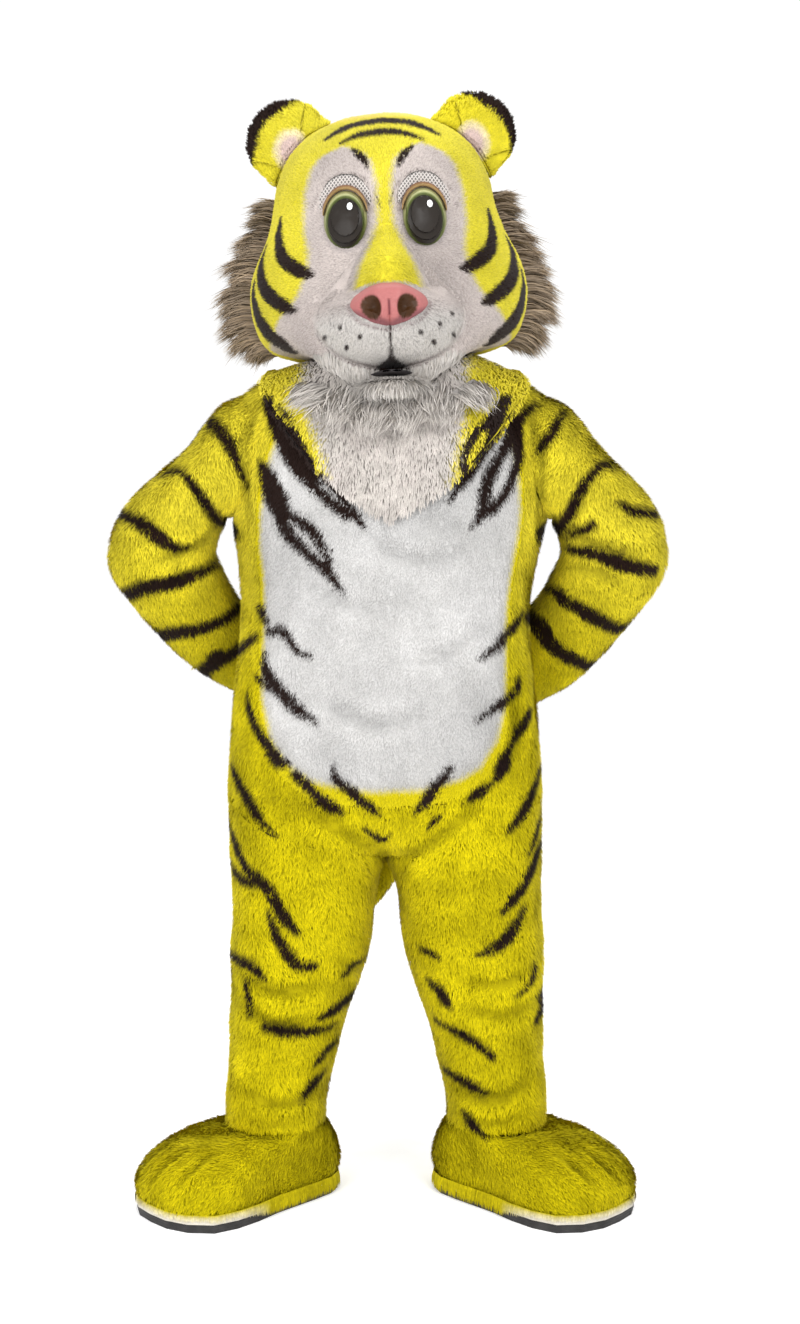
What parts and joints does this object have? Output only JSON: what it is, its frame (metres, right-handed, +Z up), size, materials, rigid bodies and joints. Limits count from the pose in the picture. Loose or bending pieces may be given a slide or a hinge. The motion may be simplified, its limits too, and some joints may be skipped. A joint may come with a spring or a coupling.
{
  "type": "mascot costume",
  "caption": "Hollow tiger mascot costume in its worn shape: plush suit, mitts, padded feet, tail and a shell head with mane, hands on hips.",
  "frame": {"origin": "middle of the suit's neck opening, where the costume hangs on the wearer's shoulders", "axes": "+Z up, -Y the way the costume faces, +X the wearer's left"},
  "size_m": [0.9393, 0.6044, 1.8451],
  "materials": {
    "beard_fur": "long combed fur, matt",
    "bib_fur": "longer combed fur, matt",
    "black_cloth": "woven, matt",
    "ear_lining": "brushed cloth, matt",
    "eye_plastic": "smooth, glossy",
    "eyelid_cloth": "smooth cloth, satin",
    "iris_plastic": "smooth, glossy",
    "lemon_plush": "brushed short pile plush, matt",
    "mane_fur": "long shaggy fur, matt",
    "nose_skin": "smooth, glossy",
    "pupil_plastic": "smooth, satin",
    "sole_rubber": "ribbed, matt",
    "vision_net": "open woven net, matt",
    "welt_foam": "cut foam edge, matt",
    "white_plush": "short pile plush, matt",
    "yellow_plush": "short pile plush, matt",
    "zip_metal": "satin"
  },
  "bodies": {
    "costume": {"back_left": "yellow_plush", "back_right": "yellow_plush", "beard": "beard_fur", "belly_panel": "white_plush", "chin": "white_plush", "ear_inner_left": "ear_lining", "ear_inner_right": "ear_lining", "ear_left": "yellow_plush", "ear_right": "yellow_plush", "eye_left": "eye_plastic", "eye_right": "eye_plastic", "eyelid_left": "eyelid_cloth", "eyelid_right": "eyelid_cloth", "foot_upper_left": "yellow_plush", "foot_upper_right": "yellow_plush", "front_side_left": "yellow_plush", "front_side_right": "yellow_plush", "glint_left": "eye_plastic", "glint_right": "eye_plastic", "head_back": "yellow_plush", "head_front": "lemon_plush", "iris_left": "iris_plastic", "iris_right": "iris_plastic", "leg_back_left": "yellow_plush", "leg_back_right": "yellow_plush", "leg_front_left": "yellow_plush", "leg_front_right": "yellow_plush", "mane_left": "mane_fur", "mane_right": "mane_fur", "mitt_left": "yellow_plush", "mitt_right": "yellow_plush", "mouth_lining": "black_cloth", "neck_bib": "bib_fur", "nose": "nose_skin", "pupil_left": "pupil_plastic", "pupil_right": "pupil_plastic", "sleeve_fore_left": "yellow_plush", "sleeve_fore_right": "yellow_plush", "sleeve_upper_left": "yellow_plush", "sleeve_upper_right": "yellow_plush", "snout": "white_plush", "sole_left": "sole_rubber", "sole_right": "sole_rubber", "tail": "yellow_plush", "tail_tip": "black_cloth", "vision_net_left": "vision_net", "vision_net_right": "vision_net", "welt_left": "welt_foam", "welt_right": "welt_foam", "zip_slider": "zip_metal", "zip_tape": "black_cloth"},
    "pull_tab": {"zip_pull": "zip_metal"}
  },
  "joints": [
    {"name": "zip_pull_hinge", "type": "hinge", "parent": "costume", "child": "pull_tab", "pos_m": [0, 0.1347, -0.0565], "axis": [1, 0, 0], "range_deg": [0, 150]}
  ]
}
